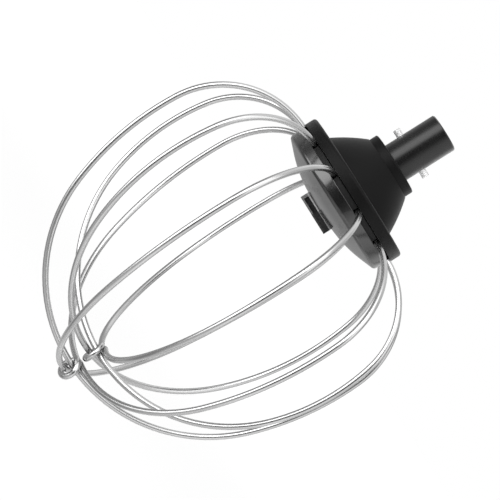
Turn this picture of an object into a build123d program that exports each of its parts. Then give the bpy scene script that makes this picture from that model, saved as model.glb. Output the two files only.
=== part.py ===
"""Balloon whisk for a stand mixer: a drive shaft with a cross pin, a moulded hub, a clip-on
retainer cap and a cage of six bent wire loops that meet in two knots below the hub.

The origin is where the cross pin's axis meets the shaft's axis. +Z runs up the shaft, away
from the cage, and the cross pin lies along X.
"""

from build123d import *
from math import atan2, cos, degrees, hypot, radians, sin, tan
import os

# Drive shaft and cross pin
shaft_diameter = 14.0
shaft_above_pin = 13.4
shaft_below_pin = 6.5
shaft_chamfer = 0.4
spigot_depth = 14.0
bore_clearance = 0.05
pin_diameter = 2.6
pin_stand_out = 2.6
pin_chamfer = 0.2
pin_clearance = 0.03

# Moulded hub
collar_diameter = 23.1
collar_height = 3.3
collar_edge_radius = 0.6
cone_top_diameter = 23.8
cone_base_diameter = 39.4
cone_height = 11.5
cone_crown = 0.4
flange_diameter = 55.5
flange_thickness = 4.25
flange_edge_radius = 1.1

# Retainer cap: a plain band under the flange, a wider skirt and a shallow dome
cap_wall = 2.0
band_inset = 1.05
band_height = 2.2
band_chamfer = 0.35
skirt_ledge = 0.45
skirt_rim_radius = 0.25
skirt_height = 4.35
skirt_draft = 0.2
skirt_edge_radius = 1.5
dome_height = 5.0
dome_slope = 20.5
dome_flat_diameter = 10.0
notch_side_clearance = 0.3

# Split snap post that holds the cap on the hub
post_length = 15.1
prong_overlap = 0.2
prong_thickness = 1.9
prong_gap = 1.0
hook_overhang = 1.6
hook_height = 3.1
hook_lead_in = 0.6
hook_bevel = 0.45
hook_seat_clearance = 0.2
pocket_depth = 1.0
pocket_end_frame = 1.1
pocket_tip_frame = 0.7
window_clearance = 0.2

# Wire and its ends in the hub
wire_diameter = 2.2
wire_clearance = 0.05
socket_clearance = 0.1
socket_circle_diameter = 36.0
socket_depth = 4.5
end_bend_radius = 3.0
exit_inset = 0.15

# Cage: outer and inner loops take turns round the axis, three of each. The outer loop that winds
# round the others spends wire on its turn, so its shoulders are tighter.
first_loop_angle = 15.0
outer_shoulder_radius = 33.2
outer_wrap_shoulder_radius = 30.5
outer_shoulder_sweep = 86.0
outer_side_radius = 104.0
outer_drop = 113.9
inner_shoulder_radius = 29.6
inner_shoulder_sweep = 79.0
inner_side_radius = 77.0
inner_drop = 103.8
knot_clearance = 0.1
turn_clearance = 0.22

# Heights and radii that follow from the sizes above
shaft_radius = shaft_diameter / 2
collar_top = -shaft_below_pin
cone_top = collar_top - collar_height
flange_top = cone_top - cone_height
underside = flange_top - flange_thickness
flange_radius = flange_diameter / 2
band_radius = flange_radius - band_inset
band_foot = underside - band_height
cavity_radius = band_radius - cap_wall
skirt_radius = band_radius + skirt_ledge
skirt_foot_radius = skirt_radius - skirt_draft
skirt_foot = band_foot - skirt_height
dome_foot = skirt_foot - dome_height
dome_flat_radius = dome_flat_diameter / 2
slope = radians(dome_slope)
slope_drop = (skirt_foot_radius - dome_flat_radius) * tan(slope)
dome_radius = (slope_drop - dome_height) * cos(slope) / (1 - cos(slope))
hook_seat = dome_foot - hook_seat_clearance
post_tip = dome_foot - hook_height
stem_inner = -prong_gap / 2
stem_outer = stem_inner - prong_thickness
hook_nose = stem_outer - hook_overhang
prong_length = (post_length + prong_overlap) / 2
wire_radius = wire_diameter / 2
wire_level = underside - wire_clearance - wire_radius
notch_foot = wire_level - wire_radius - wire_clearance
socket_radius = socket_circle_diameter / 2
socket_top = underside + socket_depth
exit_radius = skirt_radius - exit_inset
stack_pitch = wire_diameter + knot_clearance
turn_radius = 1.5 * stack_pitch + turn_clearance
strand_offset = stack_pitch / 2
loop_angles = [first_loop_angle + 180.0 / 6 * step for step in range(6)]
outer_knot = underside - outer_drop
inner_knot = underside - inner_drop
outer_shape = (outer_shoulder_radius, outer_shoulder_sweep, outer_side_radius)
outer_wrap_shape = (outer_wrap_shoulder_radius, outer_shoulder_sweep, outer_side_radius)
inner_shape = (inner_shoulder_radius, inner_shoulder_sweep, inner_side_radius)

# Each loop's angle about the axis, sideways offset of its halves, shape and height on the axis.
# In each group one loop lies lowest, one crosses over it, and one winds once round that crossing.
loops = {
    "outer_loop_mid": (loop_angles[0], 0.0, outer_shape, outer_knot + stack_pitch / 2),
    "inner_loop_low": (loop_angles[1], 0.0, inner_shape, inner_knot - stack_pitch / 2),
    "outer_loop_low": (loop_angles[2], 0.0, outer_shape, outer_knot - stack_pitch / 2),
    "inner_loop_wrap": (loop_angles[3], strand_offset, inner_shape, inner_knot + turn_radius),
    "outer_loop_wrap": (loop_angles[4], strand_offset, outer_wrap_shape, outer_knot + turn_radius),
    "inner_loop_mid": (loop_angles[5], 0.0, inner_shape, inner_knot + stack_pitch / 2),
}
wire_ends = [(angle + turn, side) for angle, side, _, _ in loops.values() for turn in (0, 180)]

os.makedirs("parts", exist_ok=True)


def finish(builder, name):
    """Label a finished piece and write it."""
    builder.part.label = name
    export_step(builder.part, f"parts/{name}.step")


def top_rim(builder, radius):
    """Highest round edge of a given radius."""
    rims = builder.edges().filter_by(GeomType.CIRCLE)
    return rims.filter_by(lambda rim: abs(rim.radius - radius) < 0.01).sort_by(Axis.Z)[-1]


def loop_plane(angle, side=0.0):
    """Upright plane at an angle about the axis, moved sideways: local x is radius, local y is height."""
    return Plane.XZ.rotated((0, 0, angle)).offset(-side)


def dome_outline(wall, rim_radius):
    """Flat, tangent arc and slope of the cap's dome, or of its inner face one wall above it."""
    flat = Line((0, dome_foot + wall), (dome_flat_radius, dome_foot + wall))
    arc = JernArc(flat @ 1, flat % 1, dome_radius - wall, dome_slope)
    arc_end = arc @ 1
    rim_level = arc_end.Y + (rim_radius - arc_end.X) * tan(slope)
    Line(arc_end, (rim_radius, rim_level))
    return rim_level


def wire_tail(end_level):
    """Bent wire end: down out of its socket and round into a level run under the flange."""
    drop = Line((socket_radius, end_level), (socket_radius, wire_level + end_bend_radius))
    return JernArc(drop @ 1, drop % 1, end_bend_radius, 90)


def half_loop(angle, side, shape, tip):
    """Edges of a loop from its end in the hub to the axis: shoulder, side and nose arcs in one plane.

    The nose arc is the one that runs on from the side arc and crosses the axis squarely at the tip.
    """
    shoulder_radius, shoulder_sweep, side_radius = shape
    turn = radians(shoulder_sweep)
    side_x = exit_radius + (shoulder_radius - side_radius) * sin(turn)
    side_y = wire_level - shoulder_radius + (shoulder_radius - side_radius) * cos(turn)
    rise = side_y - tip
    nose_radius = (side_radius**2 - side_x**2 - rise**2) / (2 * (side_radius - rise))
    nose_start = degrees(atan2(-side_x, nose_radius - rise))
    with BuildLine(loop_plane(angle, side)) as half:
        elbow = wire_tail(socket_top - socket_clearance)
        run = Line(elbow @ 1, (exit_radius, wire_level))
        shoulder = JernArc(run @ 1, run % 1, shoulder_radius, -shoulder_sweep)
        flank = JernArc(shoulder @ 1, shoulder % 1, side_radius, shoulder_sweep - nose_start)
        JernArc(flank @ 1, flank % 1, nose_radius, nose_start - 180)
    return half.edges()


def full_turn(angle, centre):
    """One turn of wire round the crossing of two others, as two half circles in leaning planes."""
    travel = Vector(-1, 0, 0).rotate(Axis.Z, angle)
    across = Vector(0, strand_offset, 0).rotate(Axis.Z, angle)
    entry = across + Vector(0, 0, centre + turn_radius)
    under = Vector(0, 0, centre - turn_radius)
    leave = Vector(0, 0, centre + turn_radius) - across
    lean_radius = hypot(strand_offset, 2 * turn_radius) / 2
    with BuildLine(Plane(entry, x_dir=travel, z_dir=travel.cross(entry - under))) as down:
        JernArc(entry, travel, lean_radius, -180)
    with BuildLine(Plane(under, x_dir=travel, z_dir=travel.cross(leave - under))) as up:
        JernArc(under, travel * -1, lean_radius, -180)
    return down.edges() + up.edges()


# Drive shaft: a round bar with a cross hole, its lower end pressed into the hub
with BuildPart() as drive_shaft:
    with BuildSketch(Plane.XY.offset(collar_top - spigot_depth)):
        Circle(shaft_radius)
    extrude(amount=spigot_depth + shaft_below_pin + shaft_above_pin)
    chamfer(drive_shaft.edges().filter_by(GeomType.CIRCLE), shaft_chamfer)
    with BuildSketch(Plane.YZ):
        Circle(pin_diameter / 2 + pin_clearance)
    extrude(amount=shaft_diameter, both=True, mode=Mode.SUBTRACT)
finish(drive_shaft, "drive_shaft")

# Drive pin: stands out of the shaft on both sides and locks in the mixer's bayonet slots
with BuildPart() as drive_pin:
    with BuildSketch(Plane.YZ):
        Circle(pin_diameter / 2)
    extrude(amount=shaft_radius + pin_stand_out, both=True)
    chamfer(drive_pin.edges().filter_by(GeomType.CIRCLE), pin_chamfer)
finish(drive_pin, "drive_pin")

# Hub: collar, cone and flange in one moulding, with a shaft bore, wire sockets and a snap post
with BuildPart() as hub:
    with BuildSketch(Plane.XZ):
        with BuildLine():
            Polyline(
                (cone_top_diameter / 2, cone_top),
                (collar_diameter / 2, cone_top),
                (collar_diameter / 2, collar_top),
                (0, collar_top),
                (0, underside),
                (flange_radius, underside),
                (flange_radius, flange_top),
                (cone_base_diameter / 2, flange_top),
            )
            SagittaArc((cone_base_diameter / 2, flange_top), (cone_top_diameter / 2, cone_top), -cone_crown)
        make_face()
    revolve(axis=Axis.Z)
    fillet(top_rim(hub, flange_radius), flange_edge_radius)
    fillet(top_rim(hub, collar_diameter / 2), collar_edge_radius)
    with BuildSketch(Plane.XY.offset(collar_top)):
        Circle(shaft_radius + bore_clearance)
    extrude(amount=-spigot_depth, mode=Mode.SUBTRACT)
    for angle, side in wire_ends:
        with BuildLine(loop_plane(angle, side)) as socket:
            wire_tail(socket_top)
        with BuildSketch(Plane(socket.line @ 0, z_dir=socket.line % 0)):
            Circle(wire_radius + socket_clearance)
        sweep(path=socket.line, mode=Mode.SUBTRACT)
    for turn in (0, 180):
        with BuildSketch(Plane.YZ.rotated((0, 0, turn)).offset(-prong_overlap / 2)):
            with BuildLine():
                Polyline(
                    (stem_inner, underside),
                    (stem_outer, underside),
                    (stem_outer, hook_seat),
                    (hook_nose + hook_bevel, hook_seat),
                    (hook_nose, hook_seat - hook_bevel),
                    (hook_nose, post_tip + hook_lead_in),
                    (hook_nose + hook_lead_in, post_tip),
                    (stem_inner, post_tip),
                    close=True,
                )
            make_face()
        extrude(amount=prong_length)
        with BuildSketch(Plane.XZ.rotated((0, 0, turn)).offset(prong_gap / 2)):
            with Locations((post_length / 2 - pocket_end_frame, post_tip + pocket_tip_frame)):
                Rectangle(
                    prong_length - pocket_end_frame,
                    hook_seat - post_tip - pocket_tip_frame,
                    align=(Align.MAX, Align.MIN),
                )
        extrude(amount=pocket_depth, mode=Mode.SUBTRACT)
finish(hub, "hub")

# Retainer cap: closes the underside of the hub and clamps the wires in notches under the flange
with BuildPart() as retainer_cap:
    with BuildSketch(Plane.XZ):
        with BuildLine():
            dome_outline(0, skirt_foot_radius)
            Polyline(
                (skirt_foot_radius, skirt_foot),
                (skirt_radius, band_foot),
                (band_radius, band_foot),
                (band_radius, underside),
                (0, underside),
                (0, dome_foot),
            )
        make_face()
    revolve(axis=Axis.Z)
    chamfer(top_rim(retainer_cap, band_radius), band_chamfer)
    fillet(top_rim(retainer_cap, skirt_radius), skirt_rim_radius)
    fillet(top_rim(retainer_cap, skirt_foot_radius), skirt_edge_radius)
    with BuildSketch(Plane.XZ):
        with BuildLine():
            cavity_foot = dome_outline(cap_wall, cavity_radius)
            Polyline(
                (cavity_radius, cavity_foot),
                (cavity_radius, underside),
                (0, underside),
                (0, dome_foot + cap_wall),
            )
        make_face()
    revolve(axis=Axis.Z, mode=Mode.SUBTRACT)
    with BuildSketch(Plane.XY.offset(dome_foot)):
        Rectangle(post_length + 2 * window_clearance, 2 * (window_clearance - stem_outer))
    extrude(amount=2 * cap_wall, mode=Mode.SUBTRACT)
    for angle, side in wire_ends:
        with BuildSketch(loop_plane(angle, side)):
            with Locations((band_radius, (underside + notch_foot) / 2)):
                Rectangle(4 * cap_wall, underside - notch_foot)
        extrude(amount=wire_radius + notch_side_clearance, both=True, mode=Mode.SUBTRACT)
finish(retainer_cap, "retainer_cap")

# Wire loops: one length of round wire each, both ends hooked up into the hub
for name, (angle, side, shape, tip) in loops.items():
    edges = half_loop(angle, side, shape, tip)
    if side:
        edges += full_turn(angle, tip - turn_radius)
    edges += half_loop(angle + 180, side, shape, tip)
    path = Wire(edges)
    with BuildPart() as loop:
        with BuildSketch(Plane(path @ 0, z_dir=path % 0)):
            Circle(wire_radius)
        sweep(path=path)
    finish(loop, name)
    print(f"{name}: wire length {path.length:.1f} mm, volume {loop.part.volume:.1f} mm3")
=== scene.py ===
# %% [markdown]
# # A balloon whisk for a stand mixer
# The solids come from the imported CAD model, which is loaded as a fixed frame: the drive shaft, the
# cross pin, the moulded hub, the clip-on cap and six loops of wire. Their shapes and places are
# settled there. This lesson gives each of them its finish, and then a camera, lights and a floor.

# %% Load the frame
from math import cos, radians, sin

import bmesh
import bpy
from mathutils import Matrix, Vector

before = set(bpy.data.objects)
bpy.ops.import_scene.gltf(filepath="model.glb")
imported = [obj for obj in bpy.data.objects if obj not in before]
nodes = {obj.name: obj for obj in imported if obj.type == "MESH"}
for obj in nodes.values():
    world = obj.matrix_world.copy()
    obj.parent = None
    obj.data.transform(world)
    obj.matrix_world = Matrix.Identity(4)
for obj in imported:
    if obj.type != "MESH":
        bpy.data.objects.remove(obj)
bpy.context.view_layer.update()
print("nodes:", sorted(nodes))

# %% [markdown]
# ## Writing finishes as expressions
# A finish is a small graph of shader nodes. Wiring it by hand in code soon hides what it says, so one
# class wraps a socket and lets ordinary arithmetic add the Math nodes: `1 - mask * 0.2` reads as it
# would on paper. Every other kind of node comes from one method, `Finish.node`.

# %% A socket that can be used in arithmetic


class Level:
    """A value socket. Each operator adds one Math node and gives its result."""

    def __init__(self, finish, socket):
        self.finish = finish
        self.socket = socket

    def math(self, operation, first, second):
        return self.finish.node("ShaderNodeMath", {"operation": operation}, {0: first, 1: second})

    def __add__(self, other):
        return self.math("ADD", self, other)

    __radd__ = __add__

    def __mul__(self, other):
        return self.math("MULTIPLY", self, other)

    __rmul__ = __mul__

    def __sub__(self, other):
        return self.math("SUBTRACT", self, other)

    def __rsub__(self, other):
        return self.math("SUBTRACT", other, self)

    def __abs__(self):
        return self.math("ABSOLUTE", self, 0.0)

    def fade(self, zero_at, one_at):
        """0 at one value and 1 at the other, with a smooth change between them."""
        return self.finish.node(
            "ShaderNodeMapRange",
            {"interpolation_type": "SMOOTHSTEP"},
            {"Value": self, "From Min": zero_at, "From Max": one_at})


class Finish:
    """The node graph of one material, or of the world."""

    def __init__(self, owner):
        owner.use_nodes = True
        self.owner = owner
        self.tree = owner.node_tree
        self.tree.nodes.clear()

    def node(self, kind, settings=None, sockets=None, output=0):
        """Add a node: its settings first, then the values or links of its sockets."""
        made = self.tree.nodes.new(kind)
        for name, value in (settings or {}).items():
            setattr(made, name, value)
        for name, value in (sockets or {}).items():
            if isinstance(value, Level):
                self.tree.links.new(value.socket, made.inputs[name])
            else:
                made.inputs[name].default_value = value
        return Level(self, made.outputs[output]) if len(made.outputs) else None


# %% [markdown]
# ## What every surface here has in common
# Mould texture, turning marks and faint handling marks are all patterns with a real size, so they
# are laid out on Object coordinates, in metres. A Mapping node stretches the pattern where the
# real marks have a direction: along the pin, round the shaft.

# %% Patterns


def new_finish(name):
    return Finish(bpy.data.materials.new(name))


def grain(finish, size, stretch=(1, 1, 1), detail=2.0):
    """Noise between 0 and 1 whose blobs are about `size` metres across, longer where stretch is over 1."""
    where = finish.node("ShaderNodeTexCoord", output="Object")
    scale = [1 / (size * s) for s in stretch]
    where = finish.node("ShaderNodeMapping", {}, {"Vector": where, "Scale": scale})
    return finish.node("ShaderNodeTexNoise", {}, {"Vector": where, "Scale": 1.0, "Detail": detail})


def place(finish):
    """The three Object coordinates, in metres."""
    where = finish.node("ShaderNodeTexCoord", output="Object")
    return [finish.node("ShaderNodeSeparateXYZ", {}, {"Vector": where}, output=axis) for axis in "XYZ"]


def tint(finish, mask, low, high):
    """A colour that runs from one to another with a mask. Each is a grey level or a colour made before."""
    low, high = (c if isinstance(c, Level) else (c, c, c, 1) for c in (low, high))
    first_colour, second_colour = 6, 7
    sockets = {"Factor": mask, first_colour: low, second_colour: high}
    return finish.node("ShaderNodeMix", {"data_type": "RGBA"}, sockets, output="Result")


def bump(finish, height, depth):
    """Surface relief `depth` metres deep."""
    return finish.node("ShaderNodeBump", {}, {"Height": height, "Strength": 1.0, "Distance": depth})


# %% [markdown]
# A finish ends in a shader. The Principled shader covers moulded plastic, a coating and bare metal
# alike, so most finishes here close with one of it. What changes over a surface is linked to it, and
# what is the same all over is typed into its sockets.

# %% Closing a finish and putting it on


def surface(finish, sockets):
    """Close a finish with one Principled shader and give it to the material's output."""
    shader = finish.node("ShaderNodeBsdfPrincipled", {}, sockets, output="BSDF")
    finish.node("ShaderNodeOutputMaterial", {}, {"Surface": shader})
    return finish.owner


def dress(material, *names):
    """Give CAD nodes a finish."""
    for name in names:
        nodes[name].data.materials.clear()
        nodes[name].data.materials.append(material)
    print(material.name, "on", ", ".join(names))


# %% [markdown]
# ## The hub
# The hub is one black moulding with an even, fine mould texture that scatters the light, so it reads
# as deep matt black with no clear reflections. Two sizes of noise make the texture: a fine one for
# the relief, and a broad one that lets the gloss drift a little over the surface. A little sheen stands
# for the same texture seen edge on, where it catches the light: that is the soft pale rim of the
# flange and the collar. The split post below the cap is the same black plastic, but its colour is
# painted paler, as painted light on its lit faces. Its flat inner faces near the split carry a paler
# painted highlight, and a thin line at the hooks' seat a palest painted glint. Height and depth, in
# metres, pick these out.

# %% Matt moulded black
# Painted light on the post: a paler grey for the whole post, a paler painted highlight on its inner faces
# and a near-white painted glint line at the hooks' seat.
post_painted_light_grey = 0.035
post_painted_highlight_grey = 0.28
post_painted_glint_grey = 0.70
post_starts = -0.0370, -0.0373
painted_glint_ends = -0.0378, -0.0376
split_reaches = 0.0009, 0.0006


def moulded_black():
    finish = new_finish("hub_moulded_black")
    fine = grain(finish, 0.00022, detail=3.0)
    drift = grain(finish, 0.008)
    moulded = tint(finish, drift, 0.003, 0.005)
    _, y, z = place(finish)
    # The whole post is painted paler, as painted light on its lit faces.
    below = z.fade(*post_starts)
    # Painted highlight on the post's flat inner faces near the split.
    inner_faces_painted_highlight = below * abs(y).fade(*split_reaches)
    # Painted glint: a thin pale line at the hooks' seat.
    painted_glint_line = below * z.fade(*painted_glint_ends)
    moulded = tint(finish, below, moulded, post_painted_light_grey)
    moulded = tint(finish, inner_faces_painted_highlight, moulded, post_painted_highlight_grey)
    moulded = tint(finish, painted_glint_line, moulded, post_painted_glint_grey)
    return surface(finish, {
        "Base Color": moulded,
        "Roughness": 0.38 + drift * 0.10 + fine * 0.08,
        "Normal": bump(finish, fine, depth=0.00001),
        "Specular IOR Level": 0.10,
        "Sheen Weight": 0.18,
        "Sheen Roughness": 0.35,
    })


dress(moulded_black(), "hub")

# %% [markdown]
# ## The retainer cap
# The cap is the same colour but comes from a polished mould. Its dome is seen at a grazing angle, so
# it mirrors the pale surroundings and looks grey although it is black. Very shallow, broad relief
# gives the slight waviness of a moulded gloss surface. Only the narrow band under the flange is matt.
# Gloss and matt are two shaders, and the height on the cap picks one of them.

# %% Gloss moulded black
band_starts = -0.02785, -0.02775


def gloss_black():
    finish = new_finish("cap_gloss_black")
    wave = grain(finish, 0.006, detail=1.0)
    marks = grain(finish, 0.0016, (1, 1, 0.3), detail=4.0)
    black = tint(finish, wave, 0.004, 0.006)
    gloss = finish.node("ShaderNodeBsdfPrincipled", {}, {
        "Base Color": black,
        "Roughness": 0.17 + marks * 0.06,
        "Normal": bump(finish, wave, depth=0.000008),
        "Specular IOR Level": 0.9,
    })
    matt = finish.node("ShaderNodeBsdfPrincipled", {}, {
        "Base Color": black,
        "Roughness": 0.50 + marks * 0.10,
        "Specular IOR Level": 0.2,
    })
    _, _, z = place(finish)
    both = finish.node("ShaderNodeMixShader", {}, {0: z.fade(*band_starts), 1: gloss, 2: matt})
    finish.node("ShaderNodeOutputMaterial", {}, {"Surface": both})
    return finish.owner


dress(gloss_black(), "retainer_cap")

# %% [markdown]
# ## The drive shaft
# The shaft is a turned bar with a thin black coating. The coating is satin, and the turning marks
# under it run round the bar, so the noise is drawn out sideways and kept short along the axis.

# %% Satin black coating
round_the_bar = 60, 60, 1


def coated_black():
    finish = new_finish("shaft_satin_black")
    rings = grain(finish, 0.00018, round_the_bar)
    drift = grain(finish, 0.005)
    return surface(finish, {
        "Base Color": tint(finish, drift, 0.003, 0.006),
        "Roughness": 0.21 + rings * 0.05 + drift * 0.05,
        "Normal": bump(finish, rings, depth=0.0000012),
        "Specular IOR Level": 0.36,
        "Sheen Weight": 0.5,
        "Sheen Roughness": 0.40,
    })


dress(coated_black(), "drive_shaft")

# %% [markdown]
# ## The cross pin and the wires
# Both are bright steel. The pin is plain drawn stock with a pale, dull plating, so it scatters much of
# the light, and has fine lines along its length. The wires are polished, so their look is nearly all
# reflection: a light core where they mirror the lit side of the room, and thin dark lines where they
# mirror its unlit sides. The finish only has to keep that reflection from being perfect, with faint
# changes of gloss.

# %% Bright steel
along_the_pin = 60, 1, 1


def drawn_steel():
    finish = new_finish("pin_drawn_steel")
    lines = grain(finish, 0.0001, along_the_pin, detail=3.0)
    return surface(finish, {
        "Base Color": tint(finish, lines, 0.84, 0.90),
        "Metallic": 0.35,
        "Roughness": 0.60 + lines * 0.08,
    })


def polished_steel():
    finish = new_finish("wire_polished_steel")
    film = grain(finish, 0.012, detail=3.0)
    specks = grain(finish, 0.0007)
    return surface(finish, {
        "Base Color": tint(finish, film, 0.40, 0.46),
        "Metallic": 1.0,
        "Roughness": 0.18 + film * 0.06 + specks * 0.04,
    })


dress(drawn_steel(), "drive_pin")
dress(polished_steel(), *[name for name in nodes if "loop" in name])

# %% [markdown]
# ## The camera
# The photograph looks almost square at the shaft's axis, a little from above the hub and a little
# to its right, with the camera rolled so that the shaft points up to the right. A long lens keeps
# the near and far wires close to the same size. The camera is placed by what a photographer would
# say: a point to aim at, two angles, a distance and a roll.

# %% Camera
aim = Vector((-0.00124, -0.00305, -0.06451))
view_azimuth = 2.12
view_elevation = 2.66
view_roll = 57.82
view_distance = 0.61885


def direction(azimuth, elevation):
    """The way to a point seen at two angles, in degrees. Azimuth 0 is the near side."""
    azimuth, elevation = radians(azimuth), radians(elevation)
    return Vector((sin(azimuth) * cos(elevation), -cos(azimuth) * cos(elevation), sin(elevation)))


towards_camera = direction(view_azimuth, view_elevation)
camera_data = bpy.data.cameras.new("camera")
camera_data.sensor_width = 36.0
camera_data.lens = 129.6
camera_data.clip_start = 0.01
camera_data.clip_end = 20.0
camera = bpy.data.objects.new("camera", camera_data)
bpy.context.scene.collection.objects.link(camera)
turn = towards_camera.to_track_quat("Z", "Y").to_matrix() @ Matrix.Rotation(radians(view_roll), 3, "Z")
camera.matrix_world = Matrix.Translation(aim + towards_camera * view_distance) @ turn.to_4x4()
bpy.context.scene.camera = camera
picture_right, picture_up = turn @ Vector((1, 0, 0)), turn @ Vector((0, 1, 0))
print("camera at", [round(v, 4) for v in camera.matrix_world.translation])

# %% [markdown]
# ## Light
# A soft lamp above the hub lights the matt surfaces and lays a soft shadow on the floor. It is hidden
# from mirrors, because its hard outline would show there: what gloss and metal mirror is painted in
# the room itself, in the next step.

# %% Soft lamp
hub_middle = Vector((0, 0, -0.04))
lamp_distance = 1.0
lamp_side = 0.22

way_to_lamp = direction(azimuth=10, elevation=75)
lamp = bpy.data.lights.new("soft_box_top", "AREA")
lamp.shape = "SQUARE"
lamp.size = lamp_side
lamp.energy = 2
lamp_box = bpy.data.objects.new("soft_box_top", lamp)
bpy.context.scene.collection.objects.link(lamp_box)
facing_hub = way_to_lamp.to_track_quat("Z", "Y").to_matrix().to_4x4()
lamp_box.matrix_world = Matrix.Translation(hub_middle + way_to_lamp * lamp_distance) @ facing_hub
lamp_box.visible_glossy = False
print("lamp at", [round(v, 2) for v in lamp_box.matrix_world.translation])

# %% [markdown]
# ## Room
# Product pictures of gloss and metal are mostly pictures of what surrounds them, so the room is laid
# out by direction: each part of it is a mask made from dot products with a few fixed axes. High and
# low are those of the picture, because the whisk lies on its side there. The camera sees plain white.
# Mirrors see a bright panel high in front, a pale table low in front, soft walls above and below, some
# light behind, more of it on the right, and some past the shaft's end and past the cage's foot, more
# of it in front, which whitens the wires that run across the axis. The panel draws the stripe down
# the shaft and the left band on the cap's skirt, and the table draws the right band.
# Matt surfaces see one soft light in front, and one below and a little behind, which draws the pale
# edge at the low ends of the collar, the flange and the shaft.

# %% Room
shaft_axis = Vector((0, 0, 1))
low_light_axis = Vector((0.66, 0.30, -0.69))
unlit_mirror = 0.08
mirror_levels = {
    "panel": 4.2, "table": 0.95, "walls": 0.36, "rim": 0.45, "behind": 0.40,
    "top": 0.9, "foot": 0.32, "top_front": 1.6, "foot_front": 0.4,
}
unlit_soft = 0.06
low_light_level = 6.0


def studio_room():
    room = Finish(bpy.data.worlds.new("studio_room"))
    way = room.node("ShaderNodeTexCoord", output="Generated")

    def towards(axis):
        """1 for a direction along this axis, 0 across it and -1 the other way."""
        dot = {"operation": "DOT_PRODUCT"}
        return room.node("ShaderNodeVectorMath", dot, {0: way, 1: axis}, output="Value")

    across, height, front = (towards(axis) for axis in (picture_right, picture_up, towards_camera))
    along, low = (towards(axis) for axis in (shaft_axis, low_light_axis))
    beside = abs(along).fade(0.65, 0.35)
    parts = {
        "panel": height.fade(0.22, 0.38) * height.fade(0.82, 0.70) * front.fade(-0.05, 0.2) * beside,
        "table": height.fade(-0.20, -0.62) * front.fade(-0.6, 0.4) * beside,
        "walls": abs(height).fade(0.3, 0.7) * front.fade(-0.85, -0.3),
        "rim": across.fade(-0.15, 0.2) * front.fade(-0.2, -0.6) * along.fade(0.45, 0.2),
        "behind": front.fade(-0.3, -0.6),
        "top": along.fade(0.35, 0.75),
        "foot": along.fade(-0.2, -0.55),
        "top_front": along.fade(0.15, 0.35) * along.fade(0.88, 0.74) * front.fade(0.30, 0.55),
        "foot_front": along.fade(-0.30, -0.60) * front.fade(-0.05, 0.25),
    }
    mirror = unlit_mirror
    for part, mask in parts.items():
        mirror = mirror + mask * mirror_levels[part]
    soft = unlit_soft + front.fade(0.2, 0.9) + low.fade(0.7, 0.97) * low_light_level
    paths = "Is Camera Ray", "Is Glossy Ray"
    seen, mirrored = (room.node("ShaderNodeLightPath", output=path) for path in paths)
    strength = seen + mirrored * mirror + (1 - seen) * (1 - mirrored) * soft
    backdrop = room.node("ShaderNodeBackground", {}, {"Color": (1, 1, 1, 1), "Strength": strength})
    room.node("ShaderNodeOutputWorld", {}, {"Surface": backdrop})
    return room.owner


bpy.context.scene.world = studio_room()
print("room with", ", ".join(mirror_levels))

# %% [markdown]
# ## Floor
# The floor is a plain pale sheet well below the whisk, and takes its soft shadow. The room's light
# comes from below as well, so the sheet neither shows in mirrors nor holds that light back. A glow that
# only the camera sees lifts it to the white of the room, and rises away from the whisk, where the lamp
# gives less.

# %% Floor
floor_level = -0.21
floor_reach = 6.0
floor_white = 0.9
glow_near, glow_rise = 0.695, 0.165
glow_ring = 0.16, 2.0

floor_mesh = bpy.data.meshes.new("floor")
sheet = bmesh.new()
bmesh.ops.create_grid(sheet, x_segments=1, y_segments=1, size=floor_reach)
bmesh.ops.translate(sheet, verts=sheet.verts, vec=(0, 0, floor_level))
sheet.to_mesh(floor_mesh)
sheet.free()
floor = bpy.data.objects.new("floor", floor_mesh)
bpy.context.scene.collection.objects.link(floor)
floor.visible_glossy = False
floor.visible_diffuse = False
floor.visible_shadow = False
print("floor at", floor_level)

# %% Floor finish
pale = new_finish("floor_pale")
matt_white = pale.node("ShaderNodeBsdfDiffuse", {}, {"Color": (floor_white, floor_white, floor_white, 1)})
x, y, _ = place(pale)
distance_squared = x * x + y * y
glow = pale.node("ShaderNodeEmission", {}, {
    "Color": glow_near + distance_squared.fade(*glow_ring) * glow_rise,
    "Strength": pale.node("ShaderNodeLightPath", output="Is Camera Ray"),
})
both = pale.node("ShaderNodeAddShader", {}, {0: matt_white, 1: glow})
pale.node("ShaderNodeOutputMaterial", {}, {"Surface": both})
floor_mesh.materials.append(pale.owner)
print(pale.owner.name, "on floor")

# %% [markdown]
# ## Colours as written
# The Standard view shows a colour as it is written. A finish does not change the size of anything.

# %% Colour management
bpy.context.scene.view_settings.view_transform = "Standard"
